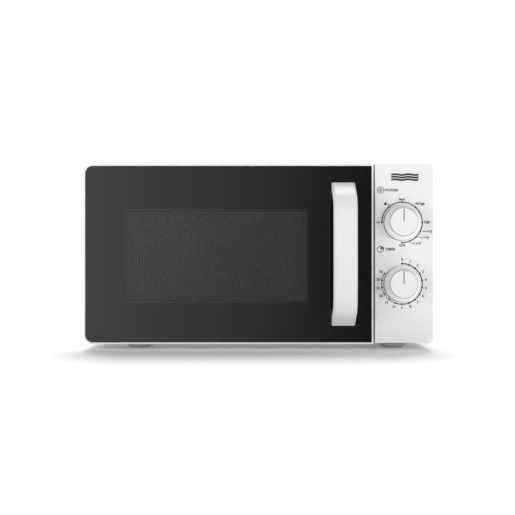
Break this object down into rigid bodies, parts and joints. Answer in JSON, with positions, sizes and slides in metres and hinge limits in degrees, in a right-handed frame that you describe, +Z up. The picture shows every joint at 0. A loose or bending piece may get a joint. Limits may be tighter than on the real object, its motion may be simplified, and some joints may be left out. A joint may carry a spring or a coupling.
{
  "type": "microwave oven",
  "caption": "Compact white microwave oven with a black glass side-hinged door, bow handle, two dials, turntable, grill and its inner components.",
  "frame": {"origin": "on the floor under the oven, at mid width and mid overall depth, handle and rear spacers included", "axes": "+X to the right seen from the front, the door faces -Y, +Z up"},
  "size_m": [0.44, 0.376, 0.235],
  "materials": {
    "white_paint": "smooth satin white powder coat",
    "white_moulding": "smooth white moulded plastic, semi-gloss",
    "knob_plastic": "white moulded plastic, semi-gloss",
    "door_glass": "black-printed glossy glass with a see-through window",
    "screen_enamel": "black enamelled perforated steel",
    "dark_cover": "dark grey moulded plastic",
    "clear_pane": "clear plastic pane",
    "cavity_paint": "grey-white epoxy cavity paint, slightly speckled",
    "galvanised": "galvanised sheet steel with a faint spangle",
    "laminations": "varnished laminated iron",
    "winding": "enamelled copper wire under varnish",
    "aluminium_parts": "plain aluminium",
    "steel_parts": "bright zinc-plated steel",
    "inner_plastic": "off-white moulded plastic",
    "wheel_plastic": "white heat-resistant plastic",
    "dark_parts": "black phenolic plastic",
    "plunger_plastic": "red plastic plunger",
    "motor_steel": "zinc-plated motor case",
    "blade_plastic": "translucent grey plastic",
    "lamp_glass": "frosted bulb glass on a metal base",
    "circuit_board": "phenolic board with parts",
    "quartz": "milky quartz tube",
    "ceramic_ends": "unglazed steatite",
    "mica": "mica sheet",
    "tray_glass": "clear tempered glass",
    "foot_plastic": "light grey moulded plastic",
    "pad_rubber": "black rubber",
    "gland_plastic": "black plastic bush"
  },
  "bodies": {
    "root": {"outer_cover": "white_paint", "control_panel": "white_moulding", "cavity_floor": "cavity_paint", "cavity_ceiling": "cavity_paint", "cavity_back": "cavity_paint", "cavity_sides": "cavity_paint", "front_plate": "cavity_paint", "base_plate": "galvanised", "rear_panel": "galvanised", "waveguide": "galvanised", "magnetron_yoke": "galvanised", "upper_hinge": "galvanised", "lower_hinge": "galvanised", "grill_reflector": "galvanised", "transformer_core": "laminations", "transformer_windings": "winding", "magnetron_tube": "aluminium_parts", "capacitor": "aluminium_parts", "case_screws": "steel_parts", "fan_shroud": "inner_plastic", "latch_board": "inner_plastic", "lamp_holder": "inner_plastic", "timer_unit": "inner_plastic", "hv_diode": "dark_parts", "thermal_cutouts": "dark_parts", "door_switches": "dark_parts", "turntable_motor": "motor_steel", "fan_motor": "motor_steel", "cavity_lamp": "lamp_glass", "filter_board": "circuit_board", "grill_heater": "quartz", "heater_insulators": "ceramic_ends", "waveguide_cover": "mica", "feet": "foot_plastic", "foot_pads": "pad_rubber", "cord_gland": "gland_plastic"},
    "door": {"door_frame": "white_moulding", "door_glass": "door_glass", "door_screen": "screen_enamel", "door_choke": "galvanised", "choke_cover": "dark_cover", "inner_window": "clear_pane", "door_handle": "white_moulding", "handle_screws": "steel_parts", "latch_spring": "steel_parts"},
    "door_latch": {"latch_lever": "inner_plastic"},
    "turntable_drive": {"drive_coupler": "inner_plastic"},
    "tray": {"glass_tray": "tray_glass"},
    "roller_carrier": {"roller_ring": "inner_plastic"},
    "wheel_1": {"roller_wheel_1": "wheel_plastic"},
    "wheel_2": {"roller_wheel_2": "wheel_plastic"},
    "wheel_3": {"roller_wheel_3": "wheel_plastic"},
    "fan": {"fan_blade": "blade_plastic"},
    "power_dial": {"power_knob": "knob_plastic", "power_shaft": "steel_parts"},
    "timer_dial": {"timer_knob": "knob_plastic", "timer_shaft": "steel_parts"},
    "plunger_1": {"switch_plunger_1": "plunger_plastic"},
    "plunger_2": {"switch_plunger_2": "plunger_plastic"},
    "plunger_3": {"switch_plunger_3": "plunger_plastic"}
  },
  "joints": [
    {"name": "door_swing", "type": "hinge", "parent": "root", "child": "door", "pos_m": [-0.213, -0.13, 0.1215], "axis": [0, 0, -1], "range_deg": [0, 100]},
    {"name": "latch_lift", "type": "slide", "parent": "door", "child": "door_latch", "axis": [0, 0, 1], "range_m": [0, 0.004], "stiffness_N_per_m": 600, "springref_m": -0.004, "deforming": ["latch_spring"]},
    {"name": "tray_turn", "type": "hinge", "parent": "root", "child": "turntable_drive", "pos_m": [-0.042, 0.023, 0.03], "axis": [0, 0, 1], "continuous": true},
    {"name": "tray_lift", "type": "slide", "parent": "turntable_drive", "child": "tray", "axis": [0, 0, 1], "range_m": [0, 0.03]},
    {"name": "ring_turn", "type": "hinge", "parent": "root", "child": "roller_carrier", "pos_m": [-0.042, 0.023, 0.03], "axis": [0, 0, 1], "continuous": true},
    {"name": "wheel_turn_1", "type": "hinge", "parent": "roller_carrier", "child": "wheel_1", "pos_m": [-0.042, 0.1165, 0.037], "axis": [0, -1, 0], "continuous": true},
    {"name": "wheel_turn_2", "type": "hinge", "parent": "roller_carrier", "child": "wheel_2", "pos_m": [-0.12297, -0.02375, 0.037], "axis": [0.866, 0.5, 0], "continuous": true},
    {"name": "wheel_turn_3", "type": "hinge", "parent": "roller_carrier", "child": "wheel_3", "pos_m": [0.03897, -0.02375, 0.037], "axis": [-0.866, 0.5, 0], "continuous": true},
    {"name": "fan_turn", "type": "hinge", "parent": "root", "child": "fan", "pos_m": [0.157, 0.16, 0.16], "axis": [0, 1, 0], "continuous": true},
    {"name": "power_turn", "type": "hinge", "parent": "root", "child": "power_dial", "pos_m": [0.1807, -0.155, 0.1611], "axis": [0, 1, 0], "range_deg": [-90, 180]},
    {"name": "timer_turn", "type": "hinge", "parent": "root", "child": "timer_dial", "pos_m": [0.1807, -0.155, 0.0837], "axis": [0, 1, 0], "range_deg": [0, 300]},
    {"name": "switch_press_1", "type": "slide", "parent": "root", "child": "plunger_1", "axis": [0, 1, 0], "range_m": [0, 0.0012], "stiffness_N_per_m": 500, "springref_m": -0.001},
    {"name": "switch_press_2", "type": "slide", "parent": "root", "child": "plunger_2", "axis": [0, 1, 0], "range_m": [0, 0.0012], "stiffness_N_per_m": 500, "springref_m": -0.001},
    {"name": "switch_press_3", "type": "slide", "parent": "root", "child": "plunger_3", "axis": [0, 1, 0], "range_m": [0, 0.0012], "stiffness_N_per_m": 500, "springref_m": -0.001}
  ],
  "couplings": [
    {"joint": "ring_turn", "follows": "tray_turn", "ratio": 0.5},
    {"joint": "wheel_turn_1", "follows": "tray_turn", "ratio": 6.6786},
    {"joint": "wheel_turn_2", "follows": "tray_turn", "ratio": 6.6786},
    {"joint": "wheel_turn_3", "follows": "tray_turn", "ratio": 6.6786}
  ]
}
